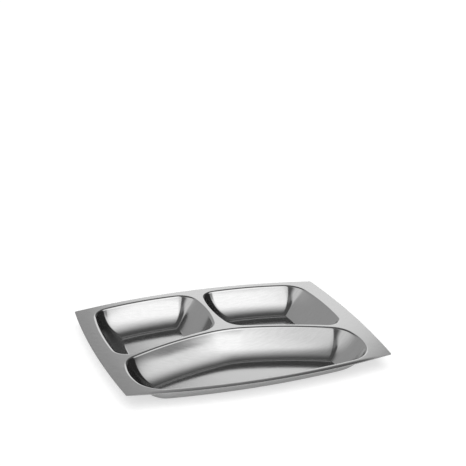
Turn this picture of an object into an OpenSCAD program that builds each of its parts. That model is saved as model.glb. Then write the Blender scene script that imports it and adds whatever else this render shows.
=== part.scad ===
// Divided compartment plate, drawn from one sheet of stainless steel.
// Two squarish wells lie side by side at the back and one wide arched well lies along the front,
// all sunk in a flat rim. A narrow Y of flat sheet is left standing between them.
// Millimetres, +X to the right, +Y to the back, +Z up.
// The origin is on the table, below the middle of the plate.

/* [Plate] */
// Overall width, across the bowed left and right edges
plate_w = 280; // [260:1:310]
// Overall depth, across the bowed front and rear edges
plate_d = 219; // [196:0.5:250]
// How far the left and right edges bow out past the corners
side_bow = 5; // [3:0.5:10]
// How far the rear edge bows out past the corners
rear_bow = 16; // [10:0.5:20]
// How far the front edge bows out past the corners
front_bow = 13.8; // [8:0.2:18]
// Radius of the four outer corners, seen from above
corner_r = 1.5; // [0.5:0.5:4]
// Thickness of the sheet
sheet_t = 0.8; // [0.6:0.1:1.2]

/* [Well section] */
// Depth of the wells, from the top of the rim to the top of the floors
well_depth = 24; // [18:0.5:28]
// Radius of the rolled lip, on its upper side
lip_r = 3.5; // [2:0.25:4.5]
// Steepest slope of a wall, just under the lip, in degrees
lip_slope = 58; // [52:1:68]
// Gentlest slope of a wall, just above the foot, in degrees
foot_slope = 26; // [20:1:32]
// Radius of the foot, where a wall turns into the floor
foot_r = 3.5; // [2:0.5:6]
// Radius of the floors' corners, seen from above
floor_corner_r = 4; // [3:0.5:8]
// How fast a well's corners sharpen from its lip down to its floor, where 1 is evenly
corner_fade = 2.5; // [1:0.1:3]

/* [Rim and dividers] */
// Flat rim beside the rear wells, at its narrowest
rear_side_rim = 15.8; // [12:0.1:22]
// Flat rim beside the front well, at its narrowest
front_side_rim = 17.8; // [14:0.1:24]
// Flat rim behind the rear wells
rear_rim = 6; // [4:0.5:10]
// Flat rim in front of the front well, at its narrowest
front_rim = 6; // [4:0.5:10]
// Flat top of the bar between the two rear wells, at its waist
bar_w = 1.8; // [1:0.1:5]
// Flat top of the arms between the rear wells and the front well, at the middle of each arm
arm_w = 1.8; // [1:0.1:5]

/* [Rear wells] */
// Radius of the inner edge, which makes the waist of the bar
inner_edge_r = 153; // [120:1:220]
// Distance of the waist behind the middle of the plate
waist_y = 59; // [50:1:66]
// Radius of the outer edge
outer_edge_r = 324; // [250:2:450]
// Distance of the widest place of the outer edge behind the middle of the plate
outer_edge_y = 21.5; // [12:0.5:30]
// Radius of the rear edge
rear_edge_r = 317; // [250:1:450]
// Radius of the front edge, which bends in beside the arm
beside_arm_r = 557; // [400:1:800]
// Corner radius at the rear, beside the bar
rear_inner_r = 20; // [14:1:24]
// Corner radius at the rear, beside the rim
rear_outer_r = 26.5; // [18:0.5:30]
// Corner radius at the front, beside the rim
front_outer_r = 15; // [10:1:20]
// Corner radius at the front, where bar and arm meet
front_inner_r = 24; // [16:1:28]

/* [Front well] */
// Distance of the crown, where the two halves of the rear edge meet, behind the middle of the plate
crown_y = 8.5; // [2:0.5:14]
// Slope at which each half of the rear edge leaves the crown, in degrees
crown_slope = 6.6; // [4:0.2:8]
// Radius that rounds off the crown
crown_r = 118; // [80:1:150]
// Height of the ends, from the front edge to the rear edge, before their corners are rounded
end_h = 63; // [58:0.5:68]
// Distance of the widest place of the ends behind the middle of that height
end_rise = 5.2; // [0:0.2:8]
// Radius of the round left and right ends
end_r = 70; // [58:1:90]
// Radius of the front edge
front_edge_r = 696; // [500:2:1200]
// Corner radius at the rear of the ends
end_rear_r = 26; // [18:1:32]
// Corner radius at the front of the ends
end_front_r = 32; // [22:1:36]
// Radius of the floor's corners at the front of the ends
end_floor_r = 12; // [8:1:16]

/* [Hidden] */

// Steps along each edge and round each corner of an outline
edge_steps = 8;
corner_steps = 6;
// Steps down the lip, the wall and the foot
lip_steps = 3;
wall_steps = 5;
foot_steps = 2;
// Steps along each edge of the plate
rim_edge_steps = 24;

// Heights of the two faces of the rim, and of the top of the floors
rim_top = sheet_t + well_depth;
rim_under = well_depth;
floor_top = sheet_t;

// The wall is one hollow arc, from the lip's slope to the foot's slope, over the height they leave
wall_r = (well_depth - lip_r * (1 - cos(lip_slope)) - foot_r * (1 - cos(foot_slope)))
    / (cos(foot_slope) - cos(lip_slope));
lip_in = lip_r * sin(lip_slope);
wall_in = lip_in + wall_r * (sin(lip_slope) - sin(foot_slope));
well_in = wall_in + foot_r * sin(foot_slope);
lip_drop = lip_r * (1 - cos(lip_slope));
wall_drop = lip_drop + wall_r * (cos(foot_slope) - cos(lip_slope));

// Section of a well, as [distance in from the lip's outline, height, slope] at each step
lip_section = [
    for (i = [0:lip_steps])
        let (a = lip_slope * i / lip_steps)
        [lip_r * sin(a), rim_top - lip_r * (1 - cos(a)), a]
];
wall_section = [
    for (i = [0:wall_steps])
        let (a = lip_slope + (foot_slope - lip_slope) * i / wall_steps)
        [
            lip_in + wall_r * (sin(lip_slope) - sin(a)),
            rim_top - lip_drop - wall_r * (cos(a) - cos(lip_slope)),
            a
        ]
];
foot_section = [
    for (i = [1:foot_steps])
        let (a = foot_slope * (1 - i / foot_steps))
        [
            wall_in + foot_r * (sin(foot_slope) - sin(a)),
            rim_top - wall_drop - foot_r * (cos(a) - cos(foot_slope)),
            a
        ]
];

// Radius of an arc that bows by rise over a chord
function bow_r(chord, rise) = (chord * chord / 4 + rise * rise) / (2 * rise);

// Height of an arc over its centre, at a distance x to the side of the centre
function arc_h(radius, x) = sqrt(radius * radius - x * x);

// An edge is an arc, as [centre, radius]: it passes the point, where it faces the angle,
// and a negative radius bends it into the outline.
function edge(point, angle, radius) = [polar(point, -radius, angle), radius];

// The same edge on the other side of the plate
function flip(e) = [[-e[0][0], e[0][1]], e[1]];

function heading(v) = atan2(v[1], v[0]);
function polar(c, r, a) = c + r * [cos(a), sin(a)];
function short_turn(a) = a > 180 ? a - 360 : a < -180 ? a + 360 : a;

// Where an edge gives way to the next, both moved in by inset. Two arcs cross twice, and on the way round
// anticlockwise the corner is on the left of the line from centre to centre, or on the right if one bends in.
function crossing(e1, e2, inset) =
    let (
        gap = e2[0] - e1[0],
        d = norm(gap),
        r1 = e1[1] - inset,
        r2 = e2[1] - inset,
        along = (r1 * r1 - r2 * r2 + d * d) / (2 * d),
        off = sqrt(max(0, r1 * r1 - along * along)),
        left = [-gap[1], gap[0]] / d
    )
    e1[0] + gap * along / d + sign(r1 * r2) * off * left;

// Closed outline, anticlockwise, moved in by inset: each edge, then the round corner to the next edge
function outline(edges, radii, inset, steps = edge_steps) =
    let (
        n = len(edges),
        centres = [for (i = [0:n - 1]) crossing(edges[i], edges[(i + 1) % n], inset + radii[i])]
    )
    [
        for (i = [0:n - 1])
            let (
                e = edges[i],
                next = edges[(i + 1) % n],
                from = heading(centres[(i + n - 1) % n] - e[0]),
                sweep = short_turn(heading(centres[i] - e[0]) - from),
                out = e[1] > 0 ? 0 : 180,
                next_out = next[1] > 0 ? 0 : 180,
                turn_from = heading(centres[i] - e[0]) + out,
                turn_to = heading(centres[i] - next[0]) + next_out,
                turn = short_turn((turn_to - turn_from) % 360)
            )
            each concat(
                [for (k = [0:steps]) polar(e[0], abs(e[1] - inset), from + sweep * k / steps)],
                [
                    for (k = [1:corner_steps - 1])
                        polar(centres[i], radii[i], turn_from + turn * k / corner_steps)
                ]
            )
    ];

// Outer outline of the plate
side_mid_y = (front_bow - rear_bow) / 2;
corner_w = plate_w - 2 * side_bow;
corner_d = plate_d - rear_bow - front_bow;
rear_plate_r = bow_r(corner_w, rear_bow);
front_plate_r = bow_r(corner_w, front_bow);
plate_side = edge([plate_w / 2, side_mid_y], 0, bow_r(corner_d, side_bow));
plate_edges = [
    edge([0, -plate_d / 2], -90, front_plate_r),
    plate_side,
    edge([0, plate_d / 2], 90, rear_plate_r),
    flip(plate_side)
];
plate_outline = outline(plate_edges, [for (e = plate_edges) corner_r], 0, rim_edge_steps);

// Front well: front edge, right end, the two halves of the rear edge, left end.
// Each half of the rear edge is an arc from the crown to the end, over the chord between those two points.
front_half_w = plate_w / 2 - front_side_rim;
front_edge = edge([0, front_rim - plate_d / 2], -90, front_edge_r);
front_end_y = front_edge[0][1] - arc_h(front_edge_r, front_half_w);
end_mid_y = front_end_y + end_h / 2 + end_rise;
end_edge = edge([front_half_w, end_mid_y], 0, end_r);
crown = [0, crown_y];
arm_end = [front_half_w, front_end_y + end_h];
arm_slope = -heading(arm_end - crown);
arm_turn = arm_slope - crown_slope;
arm_r = norm(arm_end - crown) / (2 * sin(arm_turn));
arm_out = [sin(arm_slope), cos(arm_slope)];
arm_mid = (crown + arm_end) / 2 + arm_r * (1 - cos(arm_turn)) * arm_out;
arm_edge = edge(arm_mid, 90 - arm_slope, arm_r);
front_edges = [front_edge, end_edge, arm_edge, flip(arm_edge), flip(end_edge)];
front_lip_radii = [end_front_r, end_rear_r, crown_r, end_rear_r, end_front_r];

// The floor of the front well narrows towards its ends, and the corners there share what height is left
floor_end_x = front_half_w - well_in;
floor_end_h = arm_edge[0][1] + arc_h(arm_r - well_in, floor_end_x - arm_edge[0][0])
    - front_edge[0][1] + arc_h(front_edge_r - well_in, floor_end_x);
end_floor_fit_r = min(end_floor_r, floor_end_h - floor_corner_r);
front_floor_radii = [end_floor_fit_r, floor_corner_r, crown_r - well_in, floor_corner_r, end_floor_fit_r];

// Right-hand rear well: its front edge runs beside the arm, and its rear edge beside the plate's rear edge
outer_x = plate_w / 2 - rear_side_rim;
rear_mid_x = (bar_w / 2 + outer_x) / 2;
rear_tilt = asin(rear_mid_x / rear_plate_r);
rear_mid_y = plate_d / 2 - rear_plate_r * (1 - cos(rear_tilt)) - rear_rim;
rear_edges = [
    edge(arm_mid + arm_w * arm_out, 270 - arm_slope, -beside_arm_r),
    edge([outer_x, outer_edge_y], 0, outer_edge_r),
    edge([rear_mid_x, rear_mid_y], 90 - rear_tilt, rear_edge_r),
    edge([bar_w / 2, waist_y], 180, inner_edge_r)
];
rear_lip_radii = [front_outer_r, rear_outer_r, rear_inner_r, front_inner_r];
rear_floor_radii = [for (r = rear_lip_radii) floor_corner_r];

// Corner radii of a well part-way in from its lip: they shrink fastest just under the lip
function radii_at(lip_radii, floor_radii, inset) =
    lip_radii + (floor_radii - lip_radii) * (1 - pow(1 - inset / well_in, corner_fade));

// Outlines of a well at one step of its section, on the upper side and on the underside of the sheet
function upper_ring(edges, lip_radii, floor_radii, step) =
    [for (p = outline(edges, radii_at(lip_radii, floor_radii, step[0]), step[0])) [p[0], p[1], step[1]]];

function under_ring(edges, lip_radii, floor_radii, step) =
    let (
        out = sheet_t * sin(step[2]),
        radii = [for (r = radii_at(lip_radii, floor_radii, step[0])) r + out]
    )
    [for (p = outline(edges, radii, step[0] - out)) [p[0], p[1], step[1] - sheet_t * cos(step[2])]];

// Two triangles of the strip between ring s and ring t of a band, split from corner to corner.
// The last strip is split the other way, so that it lies on the first strip of the band above.
function strip_pair(s, t, i, n, last) =
    let (
        j = (i + 1) % n,
        a = s * n + i,
        b = s * n + j,
        c = t * n + j,
        d = t * n + i
    )
    last ? [[a, d, b], [b, d, c]] : [[a, c, b], [a, d, c]];

// Band of bent sheet that runs all the way round a well, over the given steps of its section
module sheet_band(edges, lip_radii, floor_radii, section) {
    uppers = [for (step = section) upper_ring(edges, lip_radii, floor_radii, step)];
    unders = [for (step = section) under_ring(edges, lip_radii, floor_radii, step)];
    last = len(section) - 1;
    rings = concat(uppers, [for (k = [last:-1:0]) unders[k]]);
    count = len(rings);
    n = len(rings[0]);
    polyhedron(
        points = [for (ring = rings) each ring],
        faces = [
            for (s = [0:count - 1], i = [0:n - 1])
                each strip_pair(s, (s + 1) % count, i, n, s == count - 1)
        ],
        convexity = 6
    );
}

module rear_lip_shape() {
    sheet_band(rear_edges, rear_lip_radii, rear_floor_radii, lip_section);
}

module rear_wall_shape() {
    sheet_band(rear_edges, rear_lip_radii, rear_floor_radii, concat(wall_section, foot_section));
}

module rear_floor_shape() {
    linear_extrude(floor_top) polygon(outline(rear_edges, rear_floor_radii, well_in));
}

// Flat sheet left at the top once the three wells are drawn
module flat_sheet() {
    difference() {
        polygon(plate_outline);
        polygon(outline(front_edges, front_lip_radii, 0));
        polygon(outline(rear_edges, rear_lip_radii, 0));
        mirror([1, 0]) polygon(outline(rear_edges, rear_lip_radii, 0));
    }
}

// T-shaped window round the Y between the wells.
// It crosses the arms and the bar where they widen into the rim.
arm_end_x = plate_w / 2 - rear_side_rim - front_outer_r;
bar_end_y = rear_mid_y - rear_inner_r / 2;

module divider_window() {
    translate([-arm_end_x, end_mid_y]) square([2 * arm_end_x, waist_y - end_mid_y]);
    translate([-rear_inner_r, 0]) square([2 * rear_inner_r, bar_end_y]);
}

module on_rim() {
    translate([0, 0, rim_under]) linear_extrude(sheet_t) children();
}

// Flat border of the plate
module rim() {
    color("silver") on_rim() difference() {
        flat_sheet();
        divider_window();
    }
}

// Flat Y between the wells: the bar and the two arms
module divider() {
    color("gainsboro") on_rim() intersection() {
        flat_sheet();
        divider_window();
    }
}

// Rolled edge, sloping side and flat bottom of the left-hand rear well
module rear_left_lip() {
    color("lightgray") mirror([1, 0, 0]) rear_lip_shape();
}

module rear_left_wall() {
    color("darkgray") mirror([1, 0, 0]) rear_wall_shape();
}

module rear_left_floor() {
    color("silver") mirror([1, 0, 0]) rear_floor_shape();
}

// Rolled edge, sloping side and flat bottom of the right-hand rear well
module rear_right_lip() {
    color("lightgray") rear_lip_shape();
}

module rear_right_wall() {
    color("darkgray") rear_wall_shape();
}

module rear_right_floor() {
    color("silver") rear_floor_shape();
}

// Rolled edge, sloping side and flat bottom of the front well
module front_lip() {
    color("lightgray") sheet_band(front_edges, front_lip_radii, front_floor_radii, lip_section);
}

module front_wall() {
    color("darkgray")
        sheet_band(front_edges, front_lip_radii, front_floor_radii, concat(wall_section, foot_section));
}

module front_floor() {
    color("silver") linear_extrude(floor_top) polygon(outline(front_edges, front_floor_radii, well_in));
}

rim();
divider();
rear_left_lip();
rear_left_wall();
rear_left_floor();
rear_right_lip();
rear_right_wall();
rear_right_floor();
front_lip();
front_wall();
front_floor();
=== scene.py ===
"""Divided compartment plate in satin stainless steel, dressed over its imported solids.

The plate is one pressing. Its flat rim, the flat Y between the wells and the lip, wall and floor of each
well are separate pieces, and each stands for the solid of the same zone. Metres, +X right, +Y back, +Z up.
"""

import logging
import math
from dataclasses import dataclass, field
from enum import Enum
from typing import Any

import bmesh
import bpy
from mathutils import Matrix, Vector

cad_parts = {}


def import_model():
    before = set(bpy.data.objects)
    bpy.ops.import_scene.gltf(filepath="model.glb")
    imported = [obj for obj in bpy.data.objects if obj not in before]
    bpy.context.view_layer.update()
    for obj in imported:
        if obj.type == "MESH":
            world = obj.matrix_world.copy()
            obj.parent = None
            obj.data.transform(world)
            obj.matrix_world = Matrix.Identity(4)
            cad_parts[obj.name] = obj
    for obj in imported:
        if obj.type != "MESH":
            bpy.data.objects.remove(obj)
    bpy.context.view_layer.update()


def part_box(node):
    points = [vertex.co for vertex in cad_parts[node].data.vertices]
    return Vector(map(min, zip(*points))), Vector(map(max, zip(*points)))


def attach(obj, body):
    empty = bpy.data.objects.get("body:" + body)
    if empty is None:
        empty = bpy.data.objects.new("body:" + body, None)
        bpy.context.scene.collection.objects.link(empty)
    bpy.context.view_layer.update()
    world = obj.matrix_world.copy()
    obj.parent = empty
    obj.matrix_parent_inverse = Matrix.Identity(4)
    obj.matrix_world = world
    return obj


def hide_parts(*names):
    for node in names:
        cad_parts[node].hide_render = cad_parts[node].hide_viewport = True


LOG = logging.getLogger("compartment_plate")
BODY = "root"
MM = 0.001
SHARP_ANGLE = math.radians(35)
MERGE_DISTANCE = 1e-7
# A face whose normal rises less than this is a side of the sheet.
SIDE_RISE = 0.5
# Digits of a metre to which two places in the plan are the same
PLACE_DIGITS = 6
# Range that most values of a noise texture lie in
NOISE_RANGE = (0.3, 0.7)


class Side(Enum):
    """Side of the plate that a rear well is on."""

    LEFT = "left"
    RIGHT = "right"


class Zone(Enum):
    """Zone of a well, from the top down."""

    LIP = "lip"
    WALL = "wall"
    FLOOR = "floor"


def linear_rgba(hex_colour: str) -> tuple[float, float, float, float]:
    """Turns an sRGB hex colour into linear RGBA.

    Args:
        hex_colour: Colour as "#rrggbb".

    Returns:
        Linear red, green and blue, and an alpha of 1.
    """
    shares = [int(hex_colour[i:i + 2], 16) / 255 for i in (1, 3, 5)]
    red, green, blue = (s / 12.92 if s <= 0.04045 else ((s + 0.055) / 1.055) ** 2.4 for s in shares)
    return red, green, blue, 1.0


def add_node(tree: bpy.types.NodeTree, kind: str, settings: dict[str, Any] | None = None,
             inputs: dict[str | int, Any] | None = None) -> bpy.types.Node:
    """Adds a node to a tree, with its settings, input values and links.

    Args:
        tree: Node tree that takes the node.
        kind: Node type name.
        settings: Values of the node's own properties.
        inputs: Value, or output socket to link, for each input by name or place.

    Returns:
        The new node.
    """
    node = tree.nodes.new(kind)
    for name, value in (settings or {}).items():
        setattr(node, name, value)
    for place, value in (inputs or {}).items():
        if isinstance(value, bpy.types.NodeSocket):
            tree.links.new(value, node.inputs[place])
        else:
            node.inputs[place].default_value = value
    return node


def new_material(name: str) -> bpy.types.Material:
    """Makes an empty node material.

    Args:
        name: Name of the material.

    Returns:
        The material, with no node in its tree.
    """
    material = bpy.data.materials.new(name)
    material.use_nodes = True
    material.node_tree.nodes.clear()
    return material


def mesh_object(mesh: bmesh.types.BMesh, name: str,
                materials: list[bpy.types.Material]) -> bpy.types.Object:
    """Makes an object of a mesh and puts it in the scene.

    Args:
        mesh: The finished mesh, which is freed.
        name: Name of the object.
        materials: Materials of the object, in the order of its faces' numbers.

    Returns:
        The object, at the origin.
    """
    data = bpy.data.meshes.new(name)
    mesh.to_mesh(data)
    mesh.free()
    for material in materials:
        data.materials.append(material)
    made = bpy.data.objects.new(name, data)
    bpy.context.scene.collection.objects.link(made)
    return made


@dataclass(frozen=True)
class SatinStainless:
    """Cold-rolled stainless sheet with a fine satin finish, drawn in a press.

    It mirrors its surroundings with slightly soft edges. The rolling grain runs across the plate and streaks
    the reflections faintly, and the drawing leaves long shallow waves and shorter ripples that bend them a
    little.
    """

    name: str = "satin_stainless_sheet"
    colour: str = "#d5d5d5"
    streak_colour: str = "#c1c1c1"
    roughness: tuple[float, float] = (0.09, 0.13)
    # The real grain is about 0.05 mm wide. It is drawn coarser here, so that it shows.
    grain_width: float = 1.2 * MM
    grain_length: float = 9 * MM
    grain_height: float = 0.0015 * MM
    wave_length: float = 45 * MM
    wave_height: float = 0.05 * MM
    ripple_length: float = 9 * MM
    ripple_height: float = 0.012 * MM

    def material(self) -> bpy.types.Material:
        """Builds the material on Object coordinates.

        Returns:
            The satin steel material.
        """
        material = new_material(self.name)
        tree = material.node_tree
        place = add_node(tree, "ShaderNodeTexCoord").outputs["Object"]
        # The grain was rolled into the flat sheet, so it is laid on from straight above.
        flat = add_node(tree, "ShaderNodeMapping", inputs={
            "Vector": place,
            "Scale": (1 / self.grain_length, 1 / self.grain_width, 0.0),
        }).outputs["Vector"]
        grain = add_node(tree, "ShaderNodeTexNoise", inputs={
            "Vector": flat, "Scale": 1.0, "Detail": 3.0, "Roughness": 0.6,
        }).outputs["Fac"]
        colour = add_node(tree, "ShaderNodeMix", {"data_type": "RGBA"}, {
            "Factor": grain, "A": linear_rgba(self.streak_colour), "B": linear_rgba(self.colour),
        })
        roughness = add_node(tree, "ShaderNodeMapRange", inputs={
            "Value": grain, "From Min": NOISE_RANGE[0], "From Max": NOISE_RANGE[1],
            "To Min": self.roughness[0], "To Max": self.roughness[1],
        }).outputs["Result"]
        waves = add_node(tree, "ShaderNodeTexNoise", inputs={
            "Vector": place, "Scale": 1 / self.wave_length, "Detail": 1.0, "Roughness": 0.4,
        }).outputs["Fac"]
        wavy = add_node(tree, "ShaderNodeBump", inputs={
            "Strength": 1.0, "Distance": self.wave_height, "Height": waves,
        }).outputs["Normal"]
        ripples = add_node(tree, "ShaderNodeTexNoise", inputs={
            "Vector": place, "Scale": 1 / self.ripple_length, "Detail": 1.0, "Roughness": 0.4,
        }).outputs["Fac"]
        rippled = add_node(tree, "ShaderNodeBump", inputs={
            "Strength": 1.0, "Distance": self.ripple_height, "Height": ripples, "Normal": wavy,
        }).outputs["Normal"]
        normal = add_node(tree, "ShaderNodeBump", inputs={
            "Strength": 1.0, "Distance": self.grain_height, "Height": grain, "Normal": rippled,
        }).outputs["Normal"]
        steel = add_node(tree, "ShaderNodeBsdfPrincipled", inputs={
            "Metallic": 1.0, "Roughness": roughness, "Normal": normal,
        })
        tree.links.new(colour.outputs["Result"], steel.inputs["Base Color"])
        add_node(tree, "ShaderNodeOutputMaterial", inputs={"Surface": steel.outputs["BSDF"]})
        return material


@dataclass(frozen=True)
class ShearedEdge:
    """Sheared edge of the sheet, where the blank was trimmed: rougher and duller than its faces."""

    name: str = "sheared_stainless_edge"
    colour: str = "#d0d0d0"
    roughness: float = 0.34
    tear_width: float = 0.3 * MM
    tear_height: float = 0.02 * MM

    def material(self) -> bpy.types.Material:
        """Builds the material, with the fine tear marks that a shear leaves.

        Returns:
            The edge's material.
        """
        material = new_material(self.name)
        tree = material.node_tree
        place = add_node(tree, "ShaderNodeTexCoord").outputs["Object"]
        tears = add_node(tree, "ShaderNodeTexNoise", inputs={
            "Vector": place, "Scale": 1 / self.tear_width, "Detail": 2.0,
        }).outputs["Fac"]
        normal = add_node(tree, "ShaderNodeBump", inputs={
            "Strength": 1.0, "Distance": self.tear_height, "Height": tears,
        }).outputs["Normal"]
        steel = add_node(tree, "ShaderNodeBsdfPrincipled", inputs={
            "Base Color": linear_rgba(self.colour), "Metallic": 1.0,
            "Roughness": self.roughness, "Normal": normal,
        })
        add_node(tree, "ShaderNodeOutputMaterial", inputs={"Surface": steel.outputs["BSDF"]})
        return material


def polar(radius: float, angle: float) -> Vector:
    """Returns the point at a radius and an angle from the origin of the plan."""
    return Vector((math.cos(angle), math.sin(angle))) * radius


def heading(way: Vector) -> float:
    """Returns the angle of a direction in the plan."""
    return math.atan2(way.y, way.x)


def short_turn(angle: float) -> float:
    """Returns the same turn as an angle between minus and plus half a turn."""
    return math.remainder(angle, math.tau)


def plan_place(point: Vector) -> tuple[float, float]:
    """Returns a point's place in the plan, rounded so that equal places compare as equal."""
    return round(point.x, PLACE_DIGITS), round(point.y, PLACE_DIGITS)


def arc_height(radius: float, x: float) -> float:
    """Returns the height of an arc over its centre, at a distance x to the side."""
    return math.sqrt(radius * radius - x * x)


def bow_radius(chord: float, rise: float) -> float:
    """Returns the radius of an arc that bows by rise over a chord."""
    return (chord * chord / 4 + rise * rise) / (2 * rise)


@dataclass(frozen=True)
class Edge:
    """One arc of an outline. A negative radius bends it into the outline."""

    centre: Vector
    radius: float

    @classmethod
    def through(cls, point: Vector, angle: float, radius: float) -> "Edge":
        """Makes the edge that passes a point, where it faces an angle.

        Args:
            point: Point on the edge.
            angle: Angle that the edge faces there, out of the outline.
            radius: Radius of the edge.

        Returns:
            The edge.
        """
        return cls(point - polar(radius, angle), radius)

    def flipped(self) -> "Edge":
        """Returns the same edge on the other side of the plate."""
        return Edge(Vector((-self.centre.x, self.centre.y)), self.radius)

    def facing(self, way: Vector) -> float:
        """Returns the angle that the edge faces at the place in that direction from its centre."""
        return heading(way) + (0.0 if self.radius > 0 else math.pi)


@dataclass(frozen=True)
class Outline:
    """Closed run of arcs with round corners, anticlockwise seen from above."""

    edges: tuple[Edge, ...]
    edge_steps: int = 24
    corner_steps: int = 14

    def corner(self, place: int, inset: float) -> Vector:
        """Finds where an edge gives way to the next, both moved in.

        Args:
            place: Number of the edge.
            inset: Distance that both edges are moved in.

        Returns:
            The crossing of the two arcs.
        """
        first, second = self.edges[place], self.edges[(place + 1) % len(self.edges)]
        gap = second.centre - first.centre
        r1, r2 = first.radius - inset, second.radius - inset
        along = (r1 * r1 - r2 * r2 + gap.length_squared) / (2 * gap.length)
        off = math.copysign(math.sqrt(max(0.0, r1 * r1 - along * along)), r1 * r2)
        way = gap.normalized()
        return first.centre + way * along + way.orthogonal() * off

    def ring(self, radii: tuple[float, ...], inset: float, z: float) -> list[Vector]:
        """Lays the outline out as a ring of points.

        Args:
            radii: Radius of the corner after each edge.
            inset: Distance that the outline is moved in.
            z: Height of the ring.

        Returns:
            The points, one closed turn.
        """
        count = len(self.edges)
        centres = [self.corner(i, inset + radii[i]) for i in range(count)]
        points: list[Vector] = []
        for i, edge in enumerate(self.edges):
            following = self.edges[(i + 1) % count]
            start = heading(centres[i - 1] - edge.centre)
            sweep = short_turn(heading(centres[i] - edge.centre) - start)
            reach = abs(edge.radius - inset)
            for k in range(self.edge_steps + 1):
                points.append(edge.centre + polar(reach, start + sweep * k / self.edge_steps))
            turn_start = edge.facing(centres[i] - edge.centre)
            turn = short_turn(following.facing(centres[i] - following.centre) - turn_start)
            for k in range(1, self.corner_steps):
                points.append(centres[i] + polar(radii[i], turn_start + turn * k / self.corner_steps))
        return [Vector((p.x, p.y, z)) for p in points]


@dataclass(frozen=True)
class Station:
    """Place on a well's section: its distance in from the lip's outline, its height and its slope."""

    inset: float
    z: float
    slope: float


@dataclass
class Section:
    """Section that all three wells share: a rolled lip, a hollow wall and a small foot.

    The sheet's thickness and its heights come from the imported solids.
    """

    sheet: float
    rim_top: float
    floor_top: float
    lip_r: float = 3.5 * MM
    lip_slope: float = math.radians(58)
    foot_slope: float = math.radians(26)
    foot_r: float = 3.5 * MM
    # How fast a well's corners sharpen from its lip down to its floor, where 1 is evenly
    corner_fade: float = 2.5
    lip_steps: int = 14
    wall_steps: int = 28
    foot_steps: int = 8
    # Share of an arc at which a ring is laid next to each end, so that zones meet without a crease
    guard: float = 0.01

    def __post_init__(self) -> None:
        """Works out the wall's radius and how far in each zone reaches."""
        self.lip_drop = self.lip_r * (1 - math.cos(self.lip_slope))
        foot_rise = self.foot_r * (1 - math.cos(self.foot_slope))
        fall = self.rim_top - self.floor_top - self.lip_drop - foot_rise
        self.wall_r = fall / (math.cos(self.foot_slope) - math.cos(self.lip_slope))
        self.lip_in = self.lip_r * math.sin(self.lip_slope)
        self.wall_in = self.lip_in + self.wall_r * (math.sin(self.lip_slope) - math.sin(self.foot_slope))
        self.well_in = self.wall_in + self.foot_r * math.sin(self.foot_slope)

    def shares(self, steps: int) -> list[float]:
        """Returns even shares of an arc, with one more share close to each end."""
        even = [i / steps for i in range(1, steps)]
        return [0.0, self.guard, *even, 1 - self.guard, 1.0]

    def lip(self) -> list[Station]:
        """Returns the stations of the lip, from the rim down."""
        slopes = [self.lip_slope * s for s in self.shares(self.lip_steps)]
        return [
            Station(self.lip_r * math.sin(a), self.rim_top - self.lip_r * (1 - math.cos(a)), a)
            for a in slopes
        ]

    def wall(self) -> list[Station]:
        """Returns the stations of the wall and its foot, from the lip down to the floor."""
        top = self.rim_top - self.lip_drop
        fall = self.foot_slope - self.lip_slope
        slopes = [self.lip_slope + fall * s for s in self.shares(self.wall_steps)]
        hollow = [
            Station(
                self.lip_in + self.wall_r * (math.sin(self.lip_slope) - math.sin(a)),
                top - self.wall_r * (math.cos(a) - math.cos(self.lip_slope)),
                a,
            )
            for a in slopes
        ]
        foot_slopes = [self.foot_slope * (1 - s) for s in self.shares(self.foot_steps)[1:]]
        foot = [
            Station(
                self.wall_in + self.foot_r * (math.sin(self.foot_slope) - math.sin(a)),
                self.floor_top + self.foot_r * (1 - math.cos(a)),
                a,
            )
            for a in foot_slopes
        ]
        return hollow + foot


def start_ring(mesh: bmesh.types.BMesh, points: list[Vector]) -> list[bmesh.types.BMVert]:
    """Starts a mesh, or a hole in it, with one closed ring of edges.

    Args:
        mesh: Mesh that takes the ring.
        points: Points of the ring.

    Returns:
        The ring's vertices.
    """
    ring = [mesh.verts.new(p) for p in points]
    for a, b in zip(ring, ring[1:] + ring[:1]):
        mesh.edges.new((a, b))
    return ring


def ring_edges(mesh: bmesh.types.BMesh, ring: list[bmesh.types.BMVert]) -> list[bmesh.types.BMEdge]:
    """Returns the edges of a closed ring of vertices."""
    return [mesh.edges.get((a, b)) for a, b in zip(ring, ring[1:] + ring[:1])]


def pull_ring(mesh: bmesh.types.BMesh, ring: list[bmesh.types.BMVert],
              points: list[Vector]) -> list[bmesh.types.BMVert]:
    """Extrudes a ring of edges and draws the copy out to new places.

    Args:
        mesh: Mesh that holds the ring.
        ring: Vertices of the ring.
        points: Places for the copy's vertices, in the ring's order.

    Returns:
        The copy's vertices, in the ring's order.
    """
    made = bmesh.ops.extrude_edge_only(mesh, edges=ring_edges(mesh, ring))["geom"]
    copies = {v.co.to_tuple(): v for v in made if isinstance(v, bmesh.types.BMVert)}
    pulled = [copies[v.co.to_tuple()] for v in ring]
    for vertex, point in zip(pulled, points):
        vertex.co = point
    return pulled


def thicken_down(mesh: bmesh.types.BMesh, sheet: float) -> None:
    """Gives a flat or nearly flat skin the sheet's thickness, below it.

    Args:
        mesh: Mesh that holds the skin and nothing else.
        sheet: Thickness.
    """
    made = bmesh.ops.extrude_face_region(mesh, geom=mesh.faces[:], use_keep_orig=True)["geom"]
    under = [v for v in made if isinstance(v, bmesh.types.BMVert)]
    bmesh.ops.translate(mesh, vec=(0.0, 0.0, -sheet), verts=under)


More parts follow.
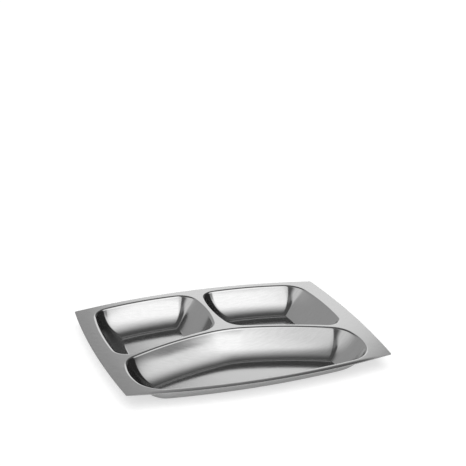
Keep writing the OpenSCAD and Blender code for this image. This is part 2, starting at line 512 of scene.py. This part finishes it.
def finish_piece(mesh: bmesh.types.BMesh, name: str, node: str,
                 materials: list[bpy.types.Material]) -> None:
    """Closes a piece off: outward faces, smooth shading with sharp cut edges, and its place in the frame.

    Args:
        mesh: The finished mesh, which is freed.
        name: Name of the piece.
        node: Solid that the piece stands for.
        materials: Materials of the piece, in the order of its faces' numbers.
    """
    bmesh.ops.recalc_face_normals(mesh, faces=mesh.faces[:])
    for face in mesh.faces:
        face.smooth = True
    for edge in mesh.edges:
        edge.smooth = not (edge.is_manifold and edge.calc_face_angle() > SHARP_ANGLE)
    piece = mesh_object(mesh, name, materials)
    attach(piece, BODY)
    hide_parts(node)
    LOG.info("%s: %d faces, stands for %s", name, len(piece.data.polygons), node)


@dataclass
class Well:
    """One drawn well: its lip, its wall and its floor, round one outline."""

    name: str
    outline: Outline
    lip_radii: tuple[float, ...]
    floor_radii: tuple[float, ...]
    section: Section
    steel: bpy.types.Material

    def radii_at(self, inset: float) -> tuple[float, ...]:
        """Returns the corner radii at a distance in from the lip. They shrink fastest just below it."""
        share = 1 - (1 - inset / self.section.well_in) ** self.section.corner_fade
        return tuple(lip + (floor - lip) * share for lip, floor in zip(self.lip_radii, self.floor_radii))

    def upper_ring(self, station: Station) -> list[Vector]:
        """Returns the ring of the upper face at a station of the section."""
        return self.outline.ring(self.radii_at(station.inset), station.inset, station.z)

    def under_ring(self, station: Station) -> list[Vector]:
        """Returns the ring of the underside at a station of the section, one thickness below its face."""
        out = self.section.sheet * math.sin(station.slope)
        radii = tuple(r + out for r in self.radii_at(station.inset))
        z = station.z - self.section.sheet * math.cos(station.slope)
        return self.outline.ring(radii, station.inset - out, z)

    def band(self, stations: list[Station]) -> bmesh.types.BMesh:
        """Draws a closed band of bent sheet round the well.

        Args:
            stations: Stations of the section that the band covers, from the top down.

        Returns:
            The band's mesh.
        """
        mesh = bmesh.new()
        first = self.upper_ring(stations[0])
        ring = start_ring(mesh, first)
        for station in stations[1:]:
            ring = pull_ring(mesh, ring, self.upper_ring(station))
        for station in reversed(stations):
            ring = pull_ring(mesh, ring, self.under_ring(station))
        pull_ring(mesh, ring, first)
        bmesh.ops.remove_doubles(mesh, verts=mesh.verts[:], dist=MERGE_DISTANCE)
        return mesh

    def bottom(self) -> bmesh.types.BMesh:
        """Fills the flat floor and gives it its thickness.

        Returns:
            The floor's mesh.
        """
        mesh = bmesh.new()
        border = self.outline.ring(self.floor_radii, self.section.well_in, self.section.floor_top)
        ring = start_ring(mesh, border)
        bmesh.ops.contextual_create(mesh, geom=ring_edges(mesh, ring))
        thicken_down(mesh, self.section.sheet)
        return mesh

    def build(self) -> None:
        """Builds the three pieces of the well."""
        meshes = {
            Zone.LIP: self.band(self.section.lip()),
            Zone.WALL: self.band(self.section.wall()),
            Zone.FLOOR: self.bottom(),
        }
        for zone, mesh in meshes.items():
            node = f"{self.name}_{zone.value}"
            finish_piece(mesh, f"{node}_sheet", node, [self.steel])


@dataclass
class FrontWell:
    """Sizes of the wide arched well along the front."""

    half_w: float
    front_y: float
    crown_y: float = 8.5 * MM
    crown_slope: float = math.radians(6.6)
    crown_r: float = 118 * MM
    end_h: float = 63 * MM
    end_rise: float = 5.2 * MM
    end_r: float = 70 * MM
    front_edge_r: float = 696 * MM
    end_rear_r: float = 26 * MM
    end_front_r: float = 32 * MM
    end_floor_r: float = 12 * MM

    def __post_init__(self) -> None:
        """Works out the arcs of the outline: the front edge, the ends and the two arms of the arch."""
        front_edge = Edge.through(Vector((0.0, self.front_y)), -math.pi / 2, self.front_edge_r)
        front_end_y = front_edge.centre.y - arc_height(self.front_edge_r, self.half_w)
        self.end_mid_y = front_end_y + self.end_h / 2 + self.end_rise
        end = Edge.through(Vector((self.half_w, self.end_mid_y)), 0.0, self.end_r)
        crown = Vector((0.0, self.crown_y))
        arm_end = Vector((self.half_w, front_end_y + self.end_h))
        chord = arm_end - crown
        self.arm_slope = -heading(chord)
        arm_turn = self.arm_slope - self.crown_slope
        arm_r = chord.length / (2 * math.sin(arm_turn))
        self.arm_out = Vector((math.sin(self.arm_slope), math.cos(self.arm_slope)))
        self.arm_mid = (crown + arm_end) / 2 + self.arm_out * (arm_r * (1 - math.cos(arm_turn)))
        arm = Edge.through(self.arm_mid, math.pi / 2 - self.arm_slope, arm_r)
        self.outline = Outline((front_edge, end, arm, arm.flipped(), end.flipped()))
        self.lip_radii = (self.end_front_r, self.end_rear_r, self.crown_r, self.end_rear_r, self.end_front_r)

    def well(self, section: Section, corner_r: float, steel: bpy.types.Material) -> Well:
        """Makes the well.

        Args:
            section: Section of the wells.
            corner_r: Radius of the floor's corners at the rear.
            steel: Material of the sheet.

        Returns:
            The well.
        """
        crown_floor_r = self.crown_r - section.well_in
        floor_radii = (self.end_floor_r, corner_r, crown_floor_r, corner_r, self.end_floor_r)
        return Well("front", self.outline, self.lip_radii, floor_radii, section, steel)


@dataclass
class RearWell:
    """Sizes of the squarish wells at the back. The outline is drawn on the right."""

    front: FrontWell
    outer_x: float
    plate_rear_y: float
    plate_rear_r: float
    rear_rim: float = 6 * MM
    bar_w: float = 1.8 * MM
    arm_w: float = 1.8 * MM
    inner_edge_r: float = 153 * MM
    waist_y: float = 59 * MM
    outer_edge_r: float = 324 * MM
    outer_edge_y: float = 21.5 * MM
    rear_edge_r: float = 317 * MM
    beside_arm_r: float = 557 * MM
    rear_inner_r: float = 20 * MM
    rear_outer_r: float = 26.5 * MM
    front_outer_r: float = 15 * MM
    front_inner_r: float = 24 * MM

    def __post_init__(self) -> None:
        """Works out the arcs of the outline: the edges beside the arm, the rim, the rear rim and the bar."""
        mid_x = (self.bar_w / 2 + self.outer_x) / 2
        tilt = math.asin(mid_x / self.plate_rear_r)
        self.rear_mid_y = self.plate_rear_y - self.plate_rear_r * (1 - math.cos(tilt)) - self.rear_rim
        front_mid = self.front.arm_mid + self.front.arm_out * self.arm_w
        self.edges = (
            Edge.through(front_mid, 1.5 * math.pi - self.front.arm_slope, -self.beside_arm_r),
            Edge.through(Vector((self.outer_x, self.outer_edge_y)), 0.0, self.outer_edge_r),
            Edge.through(Vector((mid_x, self.rear_mid_y)), math.pi / 2 - tilt, self.rear_edge_r),
            Edge.through(Vector((self.bar_w / 2, self.waist_y)), math.pi, self.inner_edge_r),
        )
        self.lip_radii = (self.front_outer_r, self.rear_outer_r, self.rear_inner_r, self.front_inner_r)

    def well(self, side: Side, section: Section, corner_r: float, steel: bpy.types.Material) -> Well:
        """Makes the well of one side.

        Args:
            side: Side of the plate.
            section: Section of the wells.
            corner_r: Radius of the floor's corners.
            steel: Material of the sheet.

        Returns:
            The well. On the left its edges are flipped and run in the other order, to stay anticlockwise.
        """
        edges, radii = self.edges, self.lip_radii
        if side is Side.LEFT:
            edges = tuple(e.flipped() for e in reversed(edges))
            radii = (*reversed(radii[:-1]), radii[-1])
        floor_radii = tuple(corner_r for _ in radii)
        return Well(f"rear_{side.value}", Outline(edges), radii, floor_radii, section, steel)


@dataclass
class FlatSheet:
    """Flat sheet left at the top: the rim and the Y between the wells.

    The narrow strip in front of the front well is turned down a little, less and less towards the corners.
    """

    outline: Outline
    wells: list[Well]
    section: Section
    window: list[tuple[float, float, float, float]]
    steel: bpy.types.Material
    cut_edge: bpy.types.Material
    corner_r: float = 1.5 * MM
    turn_w: float = 5 * MM
    turn_slope: float = math.radians(8)
    turn_half_length: float = 125 * MM
    turn_fade: float = 50 * MM
    turn_steps: int = 10
    # Faces that lie this near the Y are cut along its ends. The others stay whole.
    cut_margin: float = 15 * MM
    edge_bevel: float = 0.15 * MM

    def turn_share(self, point: Vector) -> float:
        """Returns how much of the turn the sheet has at a point of its edge."""
        if point.y > 0:
            return 0.0
        share = min(max((self.turn_half_length - abs(point.x)) / self.turn_fade, 0.0), 1.0)
        return share * share * (3 - 2 * share)

    def turned_ring(self, share: float) -> list[Vector]:
        """Returns the ring of the turned edge at a share of its bend, from the flat to the cut."""
        radius = self.turn_w / math.sin(self.turn_slope)
        slope = self.turn_slope * share
        inset = self.turn_w - radius * math.sin(slope)
        drop = radius * (1 - math.cos(slope))
        ring = self.outline.ring((self.corner_r,) * len(self.outline.edges), inset, self.section.rim_top)
        for point in ring:
            point.z -= drop * self.turn_share(point)
        return ring

    def skin(self) -> bmesh.types.BMesh:
        """Fills the top face of the whole flat sheet and draws out its turned edge.

        Returns:
            The skin, with no thickness yet.
        """
        mesh = bmesh.new()
        ring = start_ring(mesh, self.turned_ring(0.0))
        borders = ring_edges(mesh, ring)
        for well in self.wells:
            borders += ring_edges(mesh, start_ring(mesh, well.upper_ring(self.section.lip()[0])))
        bmesh.ops.triangle_fill(mesh, use_beauty=True, use_dissolve=False, edges=borders, normal=(0, 0, 1))
        for share in self.section.shares(self.turn_steps)[1:]:
            ring = pull_ring(mesh, ring, self.turned_ring(share))
        return mesh

    def in_window(self, point: Vector, margin: float = 0.0) -> bool:
        """Tells whether a point of the flat sheet belongs to the Y, or lies within a margin of it."""
        return any(
            x0 - margin < point.x < x1 + margin and y0 - margin < point.y < y1 + margin
            for x0, y0, x1, y1 in self.window
        )

    def cut(self, mesh: bmesh.types.BMesh, keep_y: bool) -> None:
        """Cuts the skin along the sides of the window and keeps one part of it.

        Args:
            mesh: The skin.
            keep_y: Whether the Y is kept, or else the rim.
        """
        (x0, _, x1, _), (_, _, _, y1) = self.window
        for place, way in (((x0, 0, 0), (1, 0, 0)), ((x1, 0, 0), (1, 0, 0)), ((0, y1, 0), (0, 1, 0))):
            faces = [f for f in mesh.faces if self.in_window(f.calc_center_median(), self.cut_margin)]
            edges = list(dict.fromkeys(e for f in faces for e in f.edges))
            corners = list(dict.fromkeys(v for f in faces for v in f.verts))
            bmesh.ops.bisect_plane(mesh, geom=faces + edges + corners, plane_co=place, plane_no=way)
        dropped = [f for f in mesh.faces if self.in_window(f.calc_center_median()) is not keep_y]
        bmesh.ops.delete(mesh, geom=dropped, context="FACES")

    def outer_edges(self, mesh: bmesh.types.BMesh) -> list[bmesh.types.BMEdge]:
        """Finds the two long edges of the sheared side of the rim.

        Args:
            mesh: The rim, with its thickness.

        Returns:
            Edges between the sheared side and the rim's two faces.
        """
        outer = {plan_place(p) for p in self.turned_ring(1.0)}
        found = []
        for edge in mesh.edges:
            places = {plan_place(v.co) for v in edge.verts}
            if len(places) == 2 and places <= outer:
                found.append(edge)
        return found

    def build(self) -> None:
        """Builds the rim and the Y."""
        rim = self.skin()
        self.cut(rim, keep_y=False)
        thicken_down(rim, self.section.sheet)
        bmesh.ops.recalc_face_normals(rim, faces=rim.faces[:])
        for face in rim.faces:
            face.material_index = int(abs(face.normal.z) < SIDE_RISE)
        bmesh.ops.bevel(rim, geom=self.outer_edges(rim), offset=self.edge_bevel, affect="EDGES",
                        segments=2, profile=0.5, material=-1)
        finish_piece(rim, "rim_sheet", "rim", [self.steel, self.cut_edge])
        divider = self.skin()
        self.cut(divider, keep_y=True)
        thicken_down(divider, self.section.sheet)
        finish_piece(divider, "divider_sheet", "divider", [self.steel])


@dataclass
class CompartmentPlate:
    """The whole plate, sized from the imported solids."""

    side_bow: float = 5 * MM
    rear_bow: float = 16 * MM
    front_bow: float = 13.8 * MM
    rear_side_rim: float = 15.8 * MM
    front_side_rim: float = 17.8 * MM
    front_rim: float = 6 * MM
    floor_corner_r: float = 4 * MM
    edge_steps: int = 64
    corner_steps: int = 8
    satin: SatinStainless = field(default_factory=SatinStainless)
    sheared: ShearedEdge = field(default_factory=ShearedEdge)

    def build(self) -> None:
        """Builds every piece of the plate."""
        low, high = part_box("rim")
        section = Section(sheet=high.z - low.z, rim_top=high.z, floor_top=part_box("front_floor")[1].z)
        steel, cut_edge = self.satin.material(), self.sheared.material()
        corner_w = high.x - low.x - 2 * self.side_bow
        corner_d = high.y - low.y - self.rear_bow - self.front_bow
        rear_r = bow_radius(corner_w, self.rear_bow)
        side = Edge.through(
            Vector((high.x, (self.front_bow - self.rear_bow) / 2)), 0.0, bow_radius(corner_d, self.side_bow))
        plate = Outline((
            Edge.through(Vector((0.0, low.y)), -math.pi / 2, bow_radius(corner_w, self.front_bow)),
            side,
            Edge.through(Vector((0.0, high.y)), math.pi / 2, rear_r),
            side.flipped(),
        ), self.edge_steps, self.corner_steps)
        front = FrontWell(half_w=high.x - self.front_side_rim, front_y=low.y + self.front_rim)
        rear = RearWell(front, outer_x=high.x - self.rear_side_rim, plate_rear_y=high.y, plate_rear_r=rear_r)
        wells = [front.well(section, self.floor_corner_r, steel)]
        wells += [rear.well(way, section, self.floor_corner_r, steel) for way in Side]
        arm_end_x = rear.outer_x - rear.front_outer_r
        bar_end_y = rear.rear_mid_y - rear.rear_inner_r / 2
        window = [
            (-arm_end_x, front.end_mid_y, arm_end_x, rear.waist_y),
            (-rear.rear_inner_r, 0.0, rear.rear_inner_r, bar_end_y),
        ]
        FlatSheet(plate, wells, section, window, steel, cut_edge).build()
        for well in wells:
            well.build()


class PanelForm(Enum):
    """Outline of a panel."""

    OVAL = "oval"
    BOX = "box"


@dataclass(frozen=True)
class Panel:
    """Soft lamp or flag of the tent, by the direction that the plate sees it in.

    Azimuth runs from +Y towards +X, elevation runs up from the table, and the roll turns the panel in its
    own plane. These and the half sizes are in degrees. The edge fades over a share of the size, the
    softness.
    """

    name: str
    form: PanelForm
    azimuth: float
    elevation: float
    roll: float
    half_width: float
    half_height: float
    softness: float
    level: float

    def mask(self, tree: bpy.types.NodeTree, way: bpy.types.NodeSocket) -> bpy.types.NodeSocket:
        """Adds the nodes that tell how much of the panel lies in a direction.

        Args:
            tree: The tent's node tree.
            way: Socket that gives the direction.

        Returns:
            Socket of the mask: 1 on the panel and 0 off it.
        """
        turned = add_node(tree, "ShaderNodeVectorRotate", {"rotation_type": "EULER_XYZ", "invert": True}, {
            "Vector": way, "Rotation": (math.radians(self.elevation), 0.0, -math.radians(self.azimuth)),
        })
        ahead = add_node(tree, "ShaderNodeSeparateXYZ", inputs={0: turned.outputs["Vector"]}).outputs
        across = add_node(tree, "ShaderNodeMath", {"operation": "ARCTAN2"}, {0: ahead["X"], 1: ahead["Y"]})
        above = add_node(tree, "ShaderNodeMath", {"operation": "ARCSINE"}, {0: ahead["Z"]})
        offset = add_node(tree, "ShaderNodeCombineXYZ", inputs={
            "X": across.outputs[0], "Y": above.outputs[0],
        })
        rolled = add_node(tree, "ShaderNodeVectorRotate", {"rotation_type": "Z_AXIS"}, {
            "Vector": offset.outputs[0], "Angle": -math.radians(self.roll),
        })
        shares = add_node(tree, "ShaderNodeVectorMath", {"operation": "DIVIDE"}, {
            0: rolled.outputs[0],
            1: (math.radians(self.half_width), math.radians(self.half_height), 1.0),
        }).outputs[0]
        if self.form is PanelForm.BOX:
            # The fourth root of the sum of fourth powers, which rounds a box's corners
            squares = add_node(tree, "ShaderNodeVectorMath", {"operation": "MULTIPLY"}, {
                0: shares, 1: shares,
            })
            length = add_node(tree, "ShaderNodeVectorMath", {"operation": "LENGTH"}, {0: squares.outputs[0]})
            away = add_node(tree, "ShaderNodeMath", {"operation": "SQRT"}, {0: length.outputs["Value"]})
        else:
            away = add_node(tree, "ShaderNodeVectorMath", {"operation": "LENGTH"}, {0: shares})
        return add_node(tree, "ShaderNodeMapRange", {"interpolation_type": "SMOOTHSTEP"}, {
            "Value": away.outputs["Value"],
            "From Min": 1 - self.softness, "From Max": 1 + self.softness, "To Min": 1.0, "To Max": 0.0,
        }).outputs["Result"]


@dataclass
class Tent:
    """Studio tent that the steel mirrors: dim cloth with lit panels and dark flags."""

    radius: float = 5.0
    segments: int = 64
    level: float = 0.13
    panels: tuple[Panel, ...] = (
        Panel("rear left cloth", PanelForm.BOX, -27, 12, 0, 45, 40, 0.3, 0.42),
        Panel("front cloth", PanelForm.BOX, 185, 6, 0, 70, 14, 0.25, 0.4),
        Panel("left panel", PanelForm.BOX, -79, 34, 0, 27, 24, 0.5, 0.84),
        Panel("overhead flag", PanelForm.OVAL, 10, 76, 0, 34, 34, 0.08, 0.1),
        Panel("upper fill", PanelForm.OVAL, -125, 67, 0, 14, 10, 0.6, 0.25),
        Panel("rear window", PanelForm.BOX, 30, 51, 0, 6, 2.5, 0.5, 0.5),
        Panel("rear right screen", PanelForm.OVAL, 24, 13, 0, 12, 17.5, 0.18, 1.02),
        Panel("right flag", PanelForm.BOX, 86, 20, 0, 28, 26, 0.3, 0.03),
        Panel("front fill", PanelForm.BOX, 184, 50, 23, 13, 30, 0.2, 1.0),
        Panel("key light", PanelForm.BOX, 143, 53, 37, 18, 24, 0.6, 1.56),
        Panel("side lamp", PanelForm.BOX, 109, 46, -49, 17, 7.5, 0.8, 1.12),
        Panel("lamp stand", PanelForm.BOX, 123, 32, 0, 5.5, 8.5, 0.6, 0.36),
    )

    def material(self) -> bpy.types.Material:
        """Builds the tent's light from its panels, each laid over the ones before it.

        Returns:
            The tent's material.
        """
        material = new_material("studio_tent")
        tree = material.node_tree
        place = add_node(tree, "ShaderNodeTexCoord").outputs["Object"]
        way = add_node(tree, "ShaderNodeVectorMath", {"operation": "NORMALIZE"}, {0: place}).outputs[0]
        light: float | bpy.types.NodeSocket = self.level
        for panel in self.panels:
            light = add_node(tree, "ShaderNodeMix", {"data_type": "FLOAT", "label": panel.name}, {
                "Factor": panel.mask(tree, way), "A": light, "B": panel.level,
            }).outputs["Result"]
        cloth = add_node(tree, "ShaderNodeEmission", inputs={"Strength": light})
        add_node(tree, "ShaderNodeOutputMaterial", inputs={"Surface": cloth.outputs["Emission"]})
        return material

    def build(self) -> None:
        """Hangs the tent round the plate, where only mirrored rays see it."""
        mesh = bmesh.new()
        bmesh.ops.create_uvsphere(
            mesh, u_segments=self.segments, v_segments=self.segments // 2, radius=self.radius)
        bmesh.ops.reverse_faces(mesh, faces=mesh.faces[:])
        tent = mesh_object(mesh, "studio_tent", [self.material()])
        tent.visible_camera = False
        tent.visible_diffuse = False
        tent.visible_transmission = False
        tent.visible_volume_scatter = False
        tent.visible_shadow = False


@dataclass
class Table:
    """Plain white table top that keeps the plate's shadow."""

    half_size: float = 20.0
    gap: float = 0.1 * MM
    colour: str = "#b4b4b4"
    glow: float = 0.61
    # Share of the glow that mirrored rays see, so that the plate's outside stays as dark as its shadow
    mirrored_glow: float = 0.3

    def material(self) -> bpy.types.Material:
        """Builds the white top: matt paint, with a plain white glow for the eye and for mirrored rays.

        Returns:
            The table's material.
        """
        material = new_material("white_table")
        tree = material.node_tree
        paint = add_node(tree, "ShaderNodeBsdfDiffuse", inputs={"Color": linear_rgba(self.colour)})
        rays = add_node(tree, "ShaderNodeLightPath").outputs
        seen = add_node(tree, "ShaderNodeMath", {"operation": "ADD"}, {
            0: rays["Is Camera Ray"], 1: rays["Is Transmission Ray"],
        })
        seen = add_node(tree, "ShaderNodeMath", {"operation": "MULTIPLY_ADD", "use_clamp": True}, {
            0: rays["Is Glossy Ray"], 1: self.mirrored_glow, 2: seen.outputs[0],
        })
        strength = add_node(tree, "ShaderNodeMath", {"operation": "MULTIPLY"}, {
            0: seen.outputs[0], 1: self.glow,
        })
        glow = add_node(tree, "ShaderNodeEmission", inputs={"Strength": strength.outputs[0]})
        both = add_node(tree, "ShaderNodeAddShader", inputs={
            0: paint.outputs["BSDF"], 1: glow.outputs["Emission"],
        })
        add_node(tree, "ShaderNodeOutputMaterial", inputs={"Surface": both.outputs["Shader"]})
        return material

    def build(self) -> None:
        """Lays the table top just under the plate."""
        mesh = bmesh.new()
        bmesh.ops.create_grid(mesh, x_segments=1, y_segments=1, size=self.half_size)
        bmesh.ops.translate(mesh, vec=(0.0, 0.0, -self.gap), verts=mesh.verts[:])
        table = mesh_object(mesh, "white_table", [self.material()])


@dataclass(frozen=True)
class TableLamp:
    """Broad lamp at the front left that throws the plate's shadow on the table. No mirrored ray sees it.

    The level is what it adds to a level top, beside the world's.
    """

    azimuth: float = math.radians(202)
    elevation: float = math.radians(46)
    spread: float = math.radians(32)
    level: float = 0.7

    def build(self) -> None:
        """Makes the lamp."""
        data = bpy.data.lights.new("table_lamp", "SUN")
        data.angle = self.spread
        data.energy = self.level * math.pi / math.sin(self.elevation)
        lamp = bpy.data.objects.new("table_lamp", data)
        bpy.context.scene.collection.objects.link(lamp)
        lamp.rotation_euler = (math.pi / 2 - self.elevation, 0.0, math.pi - self.azimuth)
        lamp.visible_glossy = False


@dataclass(frozen=True)
class StudioWorld:
    """Dim white light from all round, which the eye sees as a plain white background."""

    colour: str = "#ffffff"
    level: float = 0.3

    def build(self) -> None:
        """Sets the scene's world and its plain view transform."""
        scene = bpy.context.scene
        world = bpy.data.worlds.new("studio_world")
        world.use_nodes = True
        tree = world.node_tree
        tree.nodes.clear()
        rays = add_node(tree, "ShaderNodeLightPath").outputs
        seen = add_node(tree, "ShaderNodeMath", {"operation": "ADD"}, {
            0: rays["Is Camera Ray"], 1: rays["Is Glossy Ray"],
        })
        seen = add_node(tree, "ShaderNodeMath", {"operation": "ADD", "use_clamp": True}, {
            0: seen.outputs[0], 1: rays["Is Transmission Ray"],
        })
        strength = add_node(tree, "ShaderNodeMix", {"data_type": "FLOAT"}, {
            "Factor": seen.outputs[0], "A": self.level, "B": 1.0,
        })
        sky = add_node(tree, "ShaderNodeBackground", inputs={
            "Color": linear_rgba(self.colour), "Strength": strength.outputs["Result"],
        })
        add_node(tree, "ShaderNodeOutputWorld", inputs={"Surface": sky.outputs["Background"]})
        scene.world = world
        scene.view_settings.view_transform = "Standard"


@dataclass(frozen=True)
class PhotoCamera:
    """Camera at the photograph's viewpoint: from the front left, looking down on the plate."""

    place: tuple[float, float, float] = (-0.3961, -0.9885, 0.5338)
    yaw: float = math.radians(21.94)
    pitch: float = math.radians(20.69)
    roll: float = math.radians(1.82)
    lens: float = 89.8
    sensor: float = 36.0

    def build(self) -> None:
        """Makes the camera and gives it to the scene."""
        ahead = Vector((
            math.sin(self.yaw) * math.cos(self.pitch),
            math.cos(self.yaw) * math.cos(self.pitch),
            -math.sin(self.pitch),
        ))
        right = Vector((math.cos(self.yaw), -math.sin(self.yaw), 0.0))
        right = Matrix.Rotation(-self.roll, 3, ahead) @ right
        up = right.cross(ahead)
        data = bpy.data.cameras.new("photo_camera")
        data.lens = self.lens
        data.sensor_width = self.sensor
        camera = bpy.data.objects.new("photo_camera", data)
        bpy.context.scene.collection.objects.link(camera)
        turn = Matrix((right, up, -ahead)).transposed().to_4x4()
        camera.matrix_world = Matrix.Translation(self.place) @ turn
        bpy.context.scene.camera = camera


def main() -> None:
    """Loads the frame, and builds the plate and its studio."""
    logging.basicConfig(level=logging.INFO, format="%(message)s")
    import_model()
    PhotoCamera().build()
    CompartmentPlate().build()
    Table().build()
    Tent().build()
    TableLamp().build()
    StudioWorld().build()


if __name__ == "__main__":
    main()
